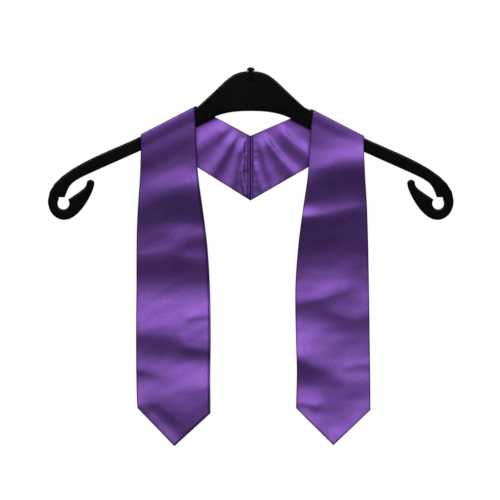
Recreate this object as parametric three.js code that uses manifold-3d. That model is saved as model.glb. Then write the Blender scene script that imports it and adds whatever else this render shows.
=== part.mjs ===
// Graduation stole on a hanger
//
// A satin stole with a V neck and pointed ends hangs over a flat moulded hanger whose arms end in
// curls. Each half of the stole is one strip: it rises from its point to the arm, folds over the
// arm's top edge and runs down behind to the seam at the centre back. A strip is two layers, a
// face and a lining, and the lining is what shows inside the neck.
//
// Millimetres, +Z up. X runs across the hanger and the front looks along -Y. The origin is the top
// of the peg that the hanger hangs by.

import * as THREE from 'three';
import { mergeVertices } from 'three/addons/utils/BufferGeometryUtils.js';
import Module from 'manifold-3d';

const wasm = await Module();
wasm.setup();

// Clearance between pieces that touch
const GAP = 0.3;

// Peg
const PEG_HEAD_RADIUS = 4.2;
const PEG_HEAD_HEIGHT = 3.85;
const PEG_HEAD_RIM = 0.9; // upright rim under the dome
const PEG_RADIUS = 2.4;
const PEG_LENGTH = 11; // below the head
const PEG_CHAMFER = 0.7;
const PEG_FORWARD = 1.1; // the peg's axis, in front of the hanger's middle
const PEG_SIDES = 24;
const DOME_STEPS = 6;

// Hanger, seen from the front
const HANGER_WIDTH = 432;
const HANGER_THICKNESS = 5;
const HANGER_EDGE_RADIUS = 2;
const CROWN_HALF_WIDTH = 57; // from the middle to where the straight arm starts
const CROWN_RISE = 38.35; // the crown's top above that place
const CROWN_DEPTH = 42.65; // at the middle, from the crown's top to the arch below it
const ARM_ANGLE = 27.25; // degrees below level, along the arm's top edge
const ARM_ROOT_DEPTH = 19.3; // straight down, where the arch meets the arm
const ARM_END_DEPTH = 13.2; // straight down, where the lower edge starts to curl

// Curled ends
const EYE_RADIUS = 6.2;
const CURL_WALL = 10.4; // between the eye and the hanger's end
const CURL_DROP = 29.3; // the eye's centre below the line of the arm's top edge
const TIP_RADIUS = 4.2;
const TIP_INSET = 28.8; // the tip's centre, from the eye's centre towards the middle
const TIP_RISE = 21.3; // the tip's centre, above the eye's centre
const TOOTH_RISE = 6.5; // the squared top of the eye above the eye's centre

// Degrees round the eye from its right, to where its squared top starts and the throat opens
const EYE_ANGLES = { square: 36, jaw: 139.5 };

// Places on the hanger's outline. The top edge bends down to the curl and the lower edge starts
// to curl at shares of the way from where the arm starts to the hanger's end, and the arch meets
// the arm at a share of the crown's half width.
const OUTLINE = { bend: 0.385, underEnd: 0.585, underStart: 1.063 };

// Handles of the outline's curves, as shares of the stretch that each curve spans
const HANDLES = {
  crownTop: 0.395,
  crownFlank: { out: 0.42, down: 0.245 },
  bend: { out: 0.312, up: 0.477 },
  curlEnd: { down: 0.6, out: 0.55 },
  curlUnder: { back: 0.511, down: 0.2 },
  jaw: { down: 0.3, out: 0.42, middle: 0.5 },
  throat: { up: 0.505, back: 0.87 },
  arch: { start: 0.332, top: 0.573 },
};

// How finely the outline and the plate's rounded edge are divided
const OUTLINE_STEPS = 10;
const EDGE_STEPS = 3;
const SHARP_TURN = 0.6; // radians, past which an outline's corner counts as sharp
const LEAST_EDGE = 0.3; // share of the edge's radius that is left at a sharp corner

// Cloth
const CLOTH = 1;
const CLOTH_CLEARANCE = 0.4; // between the lining and the arm's rounded edge
const STOLE_WIDTH = 79; // of a front panel near its point
const SHOULDER_WIDTH = 62; // of the strip where it folds over the arm
const FOLD_START = 1.7; // along the arm, from where it starts to the neck edge of the fold
const OUTER_REACH = 121.7; // from the middle to the outer edge of a front panel
const PANEL_DROP = 321.5; // from where the arm starts down to the corners of a panel
const POINT_DROP = 38; // from the corners down to the point
const NECK_DROP = 30.5; // from where the arm starts down to the notch of the neck, at the back
const SEAM_LENGTH = 69.1; // of the centre-back seam
const SEAM_X = -0.4;
const RIGHT_SLIDE = 5.1; // how much further out the right half hangs
const FOLD_LIFT = 3; // of the highest fold in a front panel
const LINING_PEEK = 1.7; // how far the lining shows past the face

// How finely the cloth is divided
const ACROSS_STEPS = 8;
const FRONT_STEPS = 34;
const OVER_STEPS = 6;
const BACK_STEPS = 10;

// The two halves as hung. Lengths along the fold are shares of the shoulder width from its start,
// and the edges are shares of the panel's width outwards from its straight edges. A fold is a
// soft ridge, or a hollow where its lift is negative: its middle lies across the panel from the
// neck edge and down it from the arm, it rises outwards by its tilt in degrees, and its reach,
// spread and lift are shares of the panel's width and of the highest fold.
const LEFT = {
  sign: -1,
  slide: 0,
  peek: LINING_PEEK,
  innerCornerDrop: 1.006,
  outerCornerDrop: 0.995,
  fold: {
    inner: { front: 0.037, top: 0, back: -0.05 },
    outer: { front: 1.082, top: 1.016, back: 0.965 },
  },
  edges: [
    { down: 0.15, inner: 0.19, outer: -0.059 },
    { down: 0.23, inner: 0.164, outer: -0.047 },
    { down: 0.31, inner: 0.121, outer: -0.025 },
    { down: 0.39, inner: 0.077, outer: -0.006 },
    { down: 0.47, inner: 0.04, outer: 0 },
    { down: 0.6, inner: 0.009, outer: 0.002 },
    { down: 0.76, inner: -0.003, outer: 0.004 },
    { down: 0.88, inner: 0.003, outer: 0 },
    { down: 0.97, inner: 0, outer: -0.011 },
    { down: 1.01, inner: -0.001, outer: -0.026 },
  ],
  folds: [
    { across: 0.57, down: 0.192, reach: 0.5, spread: 0.19, tilt: -10, lift: -0.5 },
    { across: 0.51, down: 0.298, reach: 0.4, spread: 0.175, tilt: -18, lift: 1 },
    { across: 0.52, down: 0.464, reach: 0.44, spread: 0.13, tilt: -17, lift: 0.6 },
    { across: 0.47, down: 0.712, reach: 0.5, spread: 0.21, tilt: -13, lift: 1 },
    { across: 0.44, down: 0.963, reach: 0.5, spread: 0.25, tilt: -3, lift: 0.9 },
    { across: 0.64, down: 1.02, reach: 0.3, spread: 0.1, tilt: 36, lift: -0.5 },
  ],
};

const RIGHT = {
  sign: 1,
  slide: RIGHT_SLIDE,
  peek: 0,
  innerCornerDrop: 0.995,
  outerCornerDrop: 1.001,
  fold: {
    inner: { front: 0.058, top: 0.032, back: -0.037 },
    outer: { front: 1.055, top: 1.011, back: 0.969 },
  },
  edges: [
    { down: 0.15, inner: 0.182, outer: -0.082 },
    { down: 0.23, inner: 0.159, outer: -0.066 },
    { down: 0.31, inner: 0.113, outer: -0.044 },
    { down: 0.39, inner: 0.067, outer: -0.03 },
    { down: 0.47, inner: 0.03, outer: -0.02 },
    { down: 0.6, inner: -0.005, outer: -0.011 },
    { down: 0.76, inner: 0.001, outer: -0.004 },
    { down: 0.88, inner: 0.013, outer: 0 },
    { down: 0.97, inner: 0.004, outer: 0.001 },
    { down: 1.01, inner: 0, outer: 0 },
  ],
  folds: [
    { across: 0.6, down: 0.209, reach: 0.42, spread: 0.2, tilt: 13.6, lift: 1 },
    { across: 0.43, down: 0.361, reach: 0.38, spread: 0.12, tilt: 6, lift: 0.5 },
    { across: 0.5, down: 0.45, reach: 0.5, spread: 0.2, tilt: 0, lift: -0.4 },
    { across: 0.43, down: 0.652, reach: 0.5, spread: 0.2, tilt: -10, lift: 0.95 },
    { across: 0.32, down: 0.838, reach: 0.42, spread: 0.18, tilt: -3, lift: 0.95 },
    { across: 0.76, down: 0.927, reach: 0.27, spread: 0.13, tilt: 0, lift: 0.5 },
  ],
};

const satin = { color: 0x5e3d94, roughness: 0.45, metalness: 0 };
const plastic = { color: 0x0e0e0f, roughness: 0.4, metalness: 0 };

// Places worked out from the sizes
const halfWidth = HANGER_WIDTH / 2;
const crownTop = -PEG_HEAD_HEIGHT - GAP;
const armStart = new THREE.Vector2(CROWN_HALF_WIDTH, crownTop - CROWN_RISE);
const armAngle = THREE.MathUtils.degToRad(ARM_ANGLE);
const alongArm = new THREE.Vector2(Math.cos(armAngle), -Math.sin(armAngle));
const intoArm = new THREE.Vector2(-Math.sin(armAngle), -Math.cos(armAngle));
const armTopAt = (x) => armStart.y - (x - armStart.x) * Math.tan(armAngle);

// The lining bends round the arm's edge on a radius that clears its rounded corners, and the
// middle of the two layers lies a cloth further out.
const cornerReach = Math.SQRT2 * (HANGER_THICKNESS / 2 - HANGER_EDGE_RADIUS) + HANGER_EDGE_RADIUS;
const foldRadius = cornerReach + CLOTH_CLEARANCE + CLOTH + GAP / 2;
const foldDepth = HANGER_THICKNESS / 2;
const quarterFold = (foldRadius * Math.PI) / 2;

const lerp = THREE.MathUtils.lerp;
const smoothstep = THREE.MathUtils.smoothstep;
const place = (origin, x, z) => new THREE.Vector2(origin.x + x, origin.y + z);

// Turns an indexed mesh right side out, whichever way its loops ran.
function closedGeometry(positions, triangles) {
  const corner = (i) => new THREE.Vector3().fromArray(positions, 3 * i);
  let volume = 0;
  for (const [a, b, c] of triangles) {
    volume += corner(a).dot(corner(b).cross(corner(c)));
  }
  const index = volume < 0 ? triangles.map(([a, b, c]) => [a, c, b]) : triangles;
  const geometry = new THREE.BufferGeometry();
  geometry.setAttribute('position', new THREE.Float32BufferAttribute(positions, 3));
  geometry.setIndex(index.flat());
  return geometry;
}

function mesh(name, geometry, look) {
  geometry.computeVertexNormals();
  const piece = new THREE.Mesh(geometry, new THREE.MeshStandardMaterial(look));
  piece.name = name;
  return piece;
}

// Boolean cut of one closed mesh by another
function cut(body, tool) {
  const solid = (geometry) => {
    const bare = new THREE.BufferGeometry();
    bare.setAttribute('position', geometry.getAttribute('position'));
    bare.setIndex(geometry.getIndex());
    const merged = mergeVertices(bare);
    return new wasm.Manifold(
      new wasm.Mesh({
        numProp: 3,
        vertProperties: Float32Array.from(merged.getAttribute('position').array),
        triVerts: Uint32Array.from(merged.getIndex().array),
      }),
    );
  };
  const result = solid(body).subtract(solid(tool)).getMesh();
  const geometry = new THREE.BufferGeometry();
  geometry.setAttribute('position', new THREE.Float32BufferAttribute(result.vertProperties, 3));
  geometry.setIndex(Array.from(result.triVerts));
  return geometry;
}

// Solid of revolution about the vertical axis, from a profile of [radius, height] points
function turned(profile) {
  const points = profile.map(([radius, height]) => new THREE.Vector2(radius, height));
  const lathe = new THREE.LatheGeometry(points, PEG_SIDES);
  lathe.rotateX(Math.PI / 2);
  lathe.deleteAttribute('normal');
  lathe.deleteAttribute('uv');
  const merged = mergeVertices(lathe);
  const index = merged.getIndex().array;
  const triangles = [];
  for (let i = 0; i < index.length; i += 3) {
    const [a, b, c] = index.slice(i, i + 3);
    if (a !== b && b !== c && c !== a) {
      triangles.push([a, b, c]);
    }
  }
  return closedGeometry(Array.from(merged.getAttribute('position').array), triangles);
}

// The right half of the hanger's outline, from the crown's top round the curl to the arch
function halfOutline() {
  const curlRadius = EYE_RADIUS + CURL_WALL;
  const eyeX = halfWidth - curlRadius;
  const eye = new THREE.Vector2(eyeX, armTopAt(eyeX) - CURL_DROP);
  const onEye = (degrees) => {
    const angle = THREE.MathUtils.degToRad(degrees);
    return place(eye, EYE_RADIUS * Math.cos(angle), EYE_RADIUS * Math.sin(angle));
  };
  const bendX = lerp(armStart.x, halfWidth, OUTLINE.bend);
  const bend = new THREE.Vector2(bendX, armTopAt(bendX));
  const end = place(eye, curlRadius, 0.19 * curlRadius);
  const bottom = place(eye, -0.07 * curlRadius, -1.066 * curlRadius);
  const tip = place(eye, -TIP_INSET, TIP_RISE);
  const tipOuter = place(tip, -TIP_RADIUS, 0);
  const tipInner = place(tip, TIP_RADIUS, 0);
  const jaw = onEye(EYE_ANGLES.jaw);
  const squareSide = new THREE.Vector2(onEye(EYE_ANGLES.square).x, eye.y + TOOTH_RISE);
  const tooth = place(eye, -0.24 * EYE_RADIUS, TOOTH_RISE);
  const underEndX = lerp(armStart.x, halfWidth, OUTLINE.underEnd);
  const underEnd = new THREE.Vector2(underEndX, armTopAt(underEndX) - ARM_END_DEPTH);
  const underStartX = OUTLINE.underStart * armStart.x;
  const underStart = new THREE.Vector2(underStartX, armTopAt(underStartX) - ARM_ROOT_DEPTH);
  const underSlope = (underStart.y - underEnd.y) / (underEnd.x - underStart.x);
  const arch = crownTop - CROWN_DEPTH;
  const bendHandle = lerp(bend.x, end.x, HANDLES.bend.out);
  const throatHandle = HANDLES.throat.back * (tooth.x - underEnd.x);
  const archHandle = HANDLES.arch.start * underStart.x;

  const path = new THREE.Path();
  path.moveTo(0, crownTop);
  path.bezierCurveTo(
    HANDLES.crownTop * armStart.x, crownTop,
    HANDLES.crownFlank.out * armStart.x, crownTop - HANDLES.crownFlank.down * CROWN_RISE,
    armStart.x, armStart.y,
  );
  path.lineTo(bend.x, bend.y);
  path.bezierCurveTo(
    bendHandle, armTopAt(bendHandle),
    end.x, lerp(end.y, bend.y, HANDLES.bend.up),
    end.x, end.y,
  );
  path.bezierCurveTo(
    end.x, lerp(end.y, bottom.y, HANDLES.curlEnd.down),
    lerp(bottom.x, end.x, HANDLES.curlEnd.out), bottom.y,
    bottom.x, bottom.y,
  );
  path.bezierCurveTo(
    lerp(bottom.x, tipOuter.x, HANDLES.curlUnder.back), bottom.y,
    tipOuter.x, lerp(tipOuter.y, bottom.y, HANDLES.curlUnder.down),
    tipOuter.x, tipOuter.y,
  );
  path.absarc(tip.x, tip.y, TIP_RADIUS, Math.PI, 0, true);
  path.bezierCurveTo(
    tipInner.x, lerp(tipInner.y, jaw.y, HANDLES.jaw.down),
    lerp(tipInner.x, jaw.x, HANDLES.jaw.out), lerp(tipInner.y, jaw.y, HANDLES.jaw.middle),
    jaw.x, jaw.y,
  );
  path.absarc(
    eye.x, eye.y, EYE_RADIUS,
    THREE.MathUtils.degToRad(EYE_ANGLES.jaw), THREE.MathUtils.degToRad(360 + EYE_ANGLES.square), false,
  );
  path.lineTo(squareSide.x, squareSide.y);
  path.lineTo(tooth.x, tooth.y);
  path.bezierCurveTo(
    tooth.x - EYE_RADIUS, lerp(tooth.y, underEnd.y, HANDLES.throat.up),
    underEnd.x + throatHandle, underEnd.y - underSlope * throatHandle,
    underEnd.x, underEnd.y,
  );
  path.lineTo(underStart.x, underStart.y);
  path.bezierCurveTo(
    underStart.x - archHandle, underStart.y + underSlope * archHandle,
    HANDLES.arch.top * underStart.x, arch,
    0, arch,
  );
  return path.getPoints(OUTLINE_STEPS);
}

// A flat plate of this outline whose edge is rounded. The rounding fades near a sharp corner.
function roundedPlate(outline) {
  const loop = THREE.ShapeUtils.area(outline) < 0 ? outline.slice().reverse() : outline;
  const count = loop.length;
  const at = (i) => loop[(i + count) % count];
  const turns = loop.map((point, i) => {
    const before = point.clone().sub(at(i - 1)).angle();
    const after = at(i + 1).clone().sub(point).angle();
    return Math.atan2(Math.sin(after - before), Math.cos(after - before));
  });
  const corners = loop.filter((point, i) => turns[i] > SHARP_TURN);
  const insets = loop.map((point, i) => {
    const before = point.clone().sub(at(i - 1)).normalize();
    const after = at(i + 1).clone().sub(point).normalize();
    const inward = new THREE.Vector2(-before.y - after.y, before.x + after.x).normalize();
    const room = corners.map((corner) => corner.distanceTo(point) / (2 * HANGER_EDGE_RADIUS));
    const share = THREE.MathUtils.clamp(Math.min(1, ...room), LEAST_EDGE, 1);
    return inward.multiplyScalar(share / Math.cos(turns[i] / 2));
  });
  const positions = [];
  const rings = 2 * (EDGE_STEPS + 1);
  for (let ring = 0; ring < rings; ring += 1) {
    const front = ring <= EDGE_STEPS;
    const step = front ? ring : rings - 1 - ring;
    const angle = (step / EDGE_STEPS) * (Math.PI / 2);
    const inset = HANGER_EDGE_RADIUS * (1 - Math.sin(angle));
    const depth = HANGER_THICKNESS / 2 - HANGER_EDGE_RADIUS * (1 - Math.cos(angle));
    loop.forEach((point, i) => {
      const moved = point.clone().addScaledVector(insets[i], inset);
      positions.push(moved.x, front ? -depth : depth, moved.y);
    });
  }
  const triangles = [];
  for (let ring = 0; ring + 1 < rings; ring += 1) {
    for (let i = 0; i < count; i += 1) {
      const a = ring * count + i;
      const b = ring * count + ((i + 1) % count);
      triangles.push([a, a + count, b], [b, a + count, b + count]);
    }
  }
  const face = loop.map((point, i) => point.clone().addScaledVector(insets[i], HANGER_EDGE_RADIUS));
  const back = (rings - 1) * count;
  for (const [a, b, c] of THREE.ShapeUtils.triangulateShape(face, [])) {
    triangles.push([a, b, c], [back + a, back + c, back + b]);
  }
  return closedGeometry(positions, triangles);
}

function makeHanger() {
  const right = halfOutline();
  const left = right.slice(1, -1).reverse().map((point) => new THREE.Vector2(-point.x, point.y));
  const plate = roundedPlate([...right, ...left]);
  const bore = turned([
    [0, crownTop - PEG_LENGTH - GAP],
    [PEG_RADIUS + GAP, crownTop - PEG_LENGTH - GAP],
    [PEG_RADIUS + GAP, PEG_HEAD_HEIGHT],
    [0, PEG_HEAD_HEIGHT],
  ]);
  bore.translate(0, -PEG_FORWARD, 0);
  return mesh('hanger', cut(plate, bore), plastic);
}

function makePeg() {
  const under = -PEG_HEAD_HEIGHT;
  const foot = crownTop - PEG_LENGTH;
  const profile = [
    [0, foot],
    [PEG_RADIUS - PEG_CHAMFER, foot],
    [PEG_RADIUS, foot + PEG_CHAMFER],
    [PEG_RADIUS, under],
    [PEG_HEAD_RADIUS, under],
  ];
  for (let step = 0; step <= DOME_STEPS; step += 1) {
    const angle = (step / DOME_STEPS) * (Math.PI / 2);
    const rise = (PEG_HEAD_HEIGHT - PEG_HEAD_RIM) * Math.sin(angle);
    const radius = step === DOME_STEPS ? 0 : PEG_HEAD_RADIUS * Math.cos(angle);
    profile.push([radius, under + PEG_HEAD_RIM + rise]);
  }
  return mesh('hook_peg', turned(profile), plastic);
}

// The arm's own coordinates: a length along its top edge, and a depth square to that edge
const toArm = (point) => {
  const fromStart = point.clone().sub(armStart);
  return { along: fromStart.dot(alongArm), depth: fromStart.dot(intoArm) };
};
const fromArm = (along, depth) =>
  armStart.clone().addScaledVector(alongArm, along).addScaledVector(intoArm, depth);

// A smooth curve through the rows of a table, read at x
function through(rows, x) {
  const last = rows.length - 1;
  const k = THREE.MathUtils.clamp(rows.findIndex((row) => row.x > x) - 1, 0, last - 1);
  const i = x >= rows[last].x ? last - 1 : k;
  const slope = (j) => {
    const [a, b] = [rows[Math.max(j - 1, 0)], rows[Math.min(j + 1, last)]];
    return (b.y - a.y) / (b.x - a.x);
  };
  const span = rows[i + 1].x - rows[i].x;
  const t = (x - rows[i].x) / span;
  const [t2, t3] = [t * t, t * t * t];
  return (
    rows[i].y * (2 * t3 - 3 * t2 + 1) +
    rows[i + 1].y * (3 * t2 - 2 * t3) +
    span * slope(i) * (t3 - 2 * t2 + t) +
    span * slope(i + 1) * (t3 - t2)
  );
}

// How far along the arm an edge of the strip lies, at the front, the top and the back of its fold
function foldAt(half, edge) {
  const start = FOLD_START + half.slide;
  const { front, top, back } = half.fold[edge];
  return {
    front: start + front * SHOULDER_WIDTH,
    top: start + top * SHOULDER_WIDTH,
    back: start + back * SHOULDER_WIDTH,
  };
}

// An edge of a front panel: how far out it lies at a height
function panelEdge(half, edge) {
  const start = fromArm(foldAt(half, edge).front, foldDepth);
  const straight = OUTER_REACH + half.slide - (edge === 'inner' ? STOLE_WIDTH : 0);
  const rows = half.edges.map((row) => ({
    x: row.down * PANEL_DROP,
    y: straight + row[edge] * STOLE_WIDTH,
  }));
  rows.unshift({ x: armStart.y - start.y, y: start.x });
  return { top: start.y, outAt: (z) => through(rows, armStart.y - z) };
}

// The lift of the folds at a place on a front panel. Near the arm the cloth lies against it.
function foldLift(half, out, z) {
  let lift = 0;
  for (const fold of half.folds) {
    const middleX = OUTER_REACH + half.slide - (1 - fold.across) * STOLE_WIDTH;
    const middleZ = armStart.y - fold.down * PANEL_DROP;
    const tilt = THREE.MathUtils.degToRad(fold.tilt);
    const [dx, dz] = [out - middleX, z - middleZ];
    const along = (dx * Math.cos(tilt) + dz * Math.sin(tilt)) / (fold.reach * STOLE_WIDTH);
    const across = (dz * Math.cos(tilt) - dx * Math.sin(tilt)) / (fold.spread * STOLE_WIDTH);
    lift += fold.lift * FOLD_LIFT * Math.exp(-(along ** 4) - across ** 2);
  }
  const belowArm = toArm(new THREE.Vector2(out, z)).depth - ARM_ROOT_DEPTH;
  return lift > 0
    ? lift * smoothstep(belowArm, -ARM_ROOT_DEPTH, 0)
    : lift * smoothstep(belowArm, 0, ARM_ROOT_DEPTH);
}

// A point of a half's middle surface in its arm's coordinates, as length along the arm, length
// over the fold from its top (forwards is positive) and lift. Row 0 is at the point of the panel
// and the last row at the seam, and across runs from the neck edge, 0, to the outer edge, 1.
function stripPoint(half, row, across, lowerPeek) {
  if (row <= FRONT_STEPS) {
    const down = 1 - row / FRONT_STEPS;
    const inner = panelEdge(half, 'inner');
    const outer = panelEdge(half, 'outer');
    const innerZ = lerp(inner.top, armStart.y - half.innerCornerDrop * PANEL_DROP, down);
    const outerZ = lerp(outer.top, armStart.y - half.outerCornerDrop * PANEL_DROP, down);
    const out = lerp(inner.outAt(innerZ), outer.outAt(outerZ), across);
    const towardsPoint = 1 - Math.abs(2 * across - 1);
    const peek = across < 0.5 ? lowerPeek * (1 - across) : 0;
    const z = lerp(innerZ, outerZ, across) - (POINT_DROP * towardsPoint + peek) * down ** 5;
    const { along, depth } = toArm(new THREE.Vector2(out, z));
    return { along, over: quarterFold + depth - foldDepth, lift: foldLift(half, out, z) };
  }
  const inner = foldAt(half, 'inner');
  const outer = foldAt(half, 'outer');
  if (row <= FRONT_STEPS + OVER_STEPS) {
    const turn = 1 - (2 * (row - FRONT_STEPS)) / OVER_STEPS;
    const side = turn > 0 ? 'front' : 'back';
    const at = (edge) => lerp(edge.top, edge[side], Math.abs(turn));
    return { along: lerp(at(inner), at(outer), across), over: turn * quarterFold, lift: 0 };
  }
  const down = (row - FRONT_STEPS - OVER_STEPS) / BACK_STEPS;
  const seam = half.sign * SEAM_X + GAP / 2;
  const notch = armStart.y - NECK_DROP;
  const start = fromArm(lerp(inner.back, outer.back, across), foldDepth);
  const stop = new THREE.Vector2(seam, notch - across * SEAM_LENGTH);
  const { along, depth } = toArm(start.lerp(stop, down));
  return { along, over: foldDepth - quarterFold - depth, lift: 0 };
}

// Where a point of the strip lies: round the fold near the arm's top edge, and straight down the
// front or the back past it
function onStrip(half, { along, over, lift }) {
  const turn = THREE.MathUtils.clamp(over, -quarterFold, quarterFold) / foldRadius;
  const straight = Math.max(Math.abs(over) - quarterFold, 0);
  const radius = foldRadius + lift;
  const place2d = fromArm(along, foldDepth - radius * Math.cos(turn) + straight);
  return new THREE.Vector3(half.sign * place2d.x, -radius * Math.sin(turn), place2d.y);
}

// A layer of cloth between two distances from the middle surface, on the side that faces out
function makeLayer(name, half, innerSide, outerSide, neckInset, lowerPeek) {
  const rows = FRONT_STEPS + OVER_STEPS + BACK_STEPS;
  const middle = [];
  for (let row = 0; row <= rows; row += 1) {
    const shown = neckInset * smoothstep(1 - row / FRONT_STEPS, 0.05, 0.3);
    for (let column = 0; column <= ACROSS_STEPS; column += 1) {
      const across = lerp(shown / STOLE_WIDTH, 1, column / ACROSS_STEPS);
      middle.push(onStrip(half, stripPoint(half, row, across, lowerPeek)));
    }
  }
  const columns = ACROSS_STEPS + 1;
  const within = THREE.MathUtils.clamp;
  const at = (row, column) =>
    middle[within(row, 0, rows) * columns + within(column, 0, ACROSS_STEPS)];
  const outward = middle.map((point, i) => {
    const [row, column] = [Math.floor(i / columns), i % columns];
    const along = at(row + 1, column).clone().sub(at(row - 1, column));
    const across = at(row, column + 1).clone().sub(at(row, column - 1));
    return across.cross(along).normalize().multiplyScalar(half.sign);
  });
  const positions = [];
  for (const distance of [innerSide, outerSide]) {
    middle.forEach((point, i) => {
      positions.push(...point.clone().addScaledVector(outward[i], distance).toArray());
    });
  }
  const triangles = [];
  const quad = (a, b, c, d) => triangles.push([a, b, c], [a, c, d]);
  const side = middle.length;
  for (let row = 0; row < rows; row += 1) {
    for (let column = 0; column < ACROSS_STEPS; column += 1) {
      const a = row * columns + column;
      quad(a, a + 1, a + 1 + columns, a + columns);
      quad(side + a, side + a + columns, side + a + 1 + columns, side + a + 1);
    }
    for (const [a, b] of [
      [row * columns, (row + 1) * columns],
      [(row + 2) * columns - 1, (row + 1) * columns - 1],
    ]) {
      quad(a, b, side + b, side + a);
    }
  }
  for (let column = 0; column < ACROSS_STEPS; column += 1) {
    const last = rows * columns + column;
    quad(column + 1, column, side + column, side + column + 1);
    quad(last, last + 1, side + last + 1, side + last);
  }
  return mesh(name, closedGeometry(positions, triangles), satin);
}

const model = new THREE.Group();
const hung = new THREE.Group();
hung.position.set(0, PEG_FORWARD, 0);
model.add(makePeg(), hung);
hung.add(makeHanger());
for (const [name, half] of [
  ['left', LEFT],
  ['right', RIGHT],
]) {
  hung.add(
    makeLayer(`stole_${name}_face`, half, GAP / 2, GAP / 2 + CLOTH, half.peek, 0),
    makeLayer(`stole_${name}_lining`, half, -GAP / 2 - CLOTH, -GAP / 2, 0, half.peek),
  );
}

export default model;
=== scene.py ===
# %% [markdown]
# A graduation stole on its hanger
#
# A purple satin stole with a V neck and pointed ends hangs over a flat black hanger. The packed
# part gives every size and place, and this lesson dresses it: the cloth gets its folds, its two
# plies and its sheen, and the hanger gets the skin of moulded plastic.

# %% Load the packed part
import math

import bpy
import numpy as np
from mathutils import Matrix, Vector


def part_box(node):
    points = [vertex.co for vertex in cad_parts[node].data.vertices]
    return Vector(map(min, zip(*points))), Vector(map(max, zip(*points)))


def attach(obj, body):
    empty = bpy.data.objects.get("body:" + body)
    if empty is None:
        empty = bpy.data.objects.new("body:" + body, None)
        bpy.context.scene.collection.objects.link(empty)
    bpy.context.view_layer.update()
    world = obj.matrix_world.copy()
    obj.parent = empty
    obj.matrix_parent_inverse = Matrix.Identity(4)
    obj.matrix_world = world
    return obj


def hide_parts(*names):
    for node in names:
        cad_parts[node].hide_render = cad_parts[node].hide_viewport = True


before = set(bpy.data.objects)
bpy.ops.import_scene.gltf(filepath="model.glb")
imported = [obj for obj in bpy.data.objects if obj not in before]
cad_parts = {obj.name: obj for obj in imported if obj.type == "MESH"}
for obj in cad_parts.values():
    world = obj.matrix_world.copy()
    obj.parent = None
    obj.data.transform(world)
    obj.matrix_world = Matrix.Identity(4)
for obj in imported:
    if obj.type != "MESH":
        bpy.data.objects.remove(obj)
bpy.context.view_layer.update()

# %% [markdown]
# The stole is planned the way it was sewn, in millimetres, and Blender counts in metres, so one
# helper at the end of the making turns one into the other. Each half of the stole is a strip laid
# over a sloping arm of the hanger. It is easiest to place on the arm's own ruler: a length along
# the arm's top edge and a depth square to it.

# %% Sizes of the arm and the cloth
MM = 0.001
low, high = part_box("hanger")
HANGER_MIDDLE = (low[1] + high[1]) / 2 / MM
HANGER_THICKNESS = (high[1] - low[1]) / MM

ARM_OUT = 57.0  # where the straight arm starts, out from the middle
ARM_UP = -42.5
ARM_ANGLE = math.radians(27.25)
ARM_DEPTH = 19.3

STOLE_WIDTH = 79.0
SHOULDER_WIDTH = 62.0
FOLD_START = 1.7
OUTER_REACH = 121.7
PANEL_DROP = 321.5
POINT_DROP = 38.0
NECK_DROP = 30.5
SEAM_LENGTH = 69.1
SEAM_X = -0.4
SEAM_GAP = 0.002  # the halves are sewn here, so they all but touch
RIGHT_SLIDE = 5.1
LINING_PEEK = 1.7

PLY = 0.45  # satin with its stiffener
PLY_GAP = 0.1
FOLD_REACH = 3.46  # of the middle between the plies, from the core of the arm's top edge
FOLD_CORNER = 1.3  # radius of the turn from the front to the top of the arm
FOLD_SLACK = 0.4  # how far the cloth rises off the top
FOLD_DEPTH = HANGER_THICKNESS / 2
FLAT = FOLD_REACH - FOLD_CORNER
QUARTER = 2 * FLAT + FOLD_CORNER * math.pi / 2


def to_arm(out, up):
    """Length along the arm's top edge and depth square to it: the place turned by the arm's angle."""
    east, north = out - ARM_OUT, up - ARM_UP
    along = east * math.cos(ARM_ANGLE) - north * math.sin(ARM_ANGLE)
    depth = -east * math.sin(ARM_ANGLE) - north * math.cos(ARM_ANGLE)
    return along, depth


def from_arm(along, depth):
    """The place out from the middle and up, for a length along the arm and a depth: turned back."""
    out = ARM_OUT + along * math.cos(ARM_ANGLE) - depth * math.sin(ARM_ANGLE)
    up = ARM_UP - along * math.sin(ARM_ANGLE) - depth * math.cos(ARM_ANGLE)
    return out, up


print("hanger, mm:", round(HANGER_THICKNESS, 2), "thick, middle at y", round(HANGER_MIDDLE, 2))

# %% [markdown]
# No two halves hang alike. Satin falls in soft cross folds, each a ridge with a lit slope above it
# and a shaded one below, and cloth simulation would give folds of its own rather than these. So
# the folds are written down as a tailor would chalk them: where the crest runs, how wide each
# slope is, how round the crest is and how far it stands out.
#
# A place is (across, down): across from the neck edge to the outer edge of the panel, down from
# the arm to the corners. Widths are shares of the panel's width and the lift is in millimetres, and
# below nothing for a valley. On the back, places are (out, down) from the notch of the neck, and
# they and the widths are shares of the seam's length.


# %% The two halves as hung
def fold(crest, above, below, rounding, lift, left=1, fan=0):
    """One fold: its crest runs through three places, and "left" is the share of lift at the last."""
    shape = dict(above=above, below=below, rounding=rounding)
    return dict(crest=crest, lift=lift, left=left, fan=fan, **shape)


def pleat(crest, above, below, rounding, lift):
    """A fold that is sewn flat at its first place, and widens along its crest."""
    return fold(crest, above, below, rounding, lift, fan=1)


def edge_row(down, inner, outer):
    """How far the two edges stray outwards at a height, as shares of the panel's width."""
    return dict(down=down, inner=inner, outer=outer)


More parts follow.
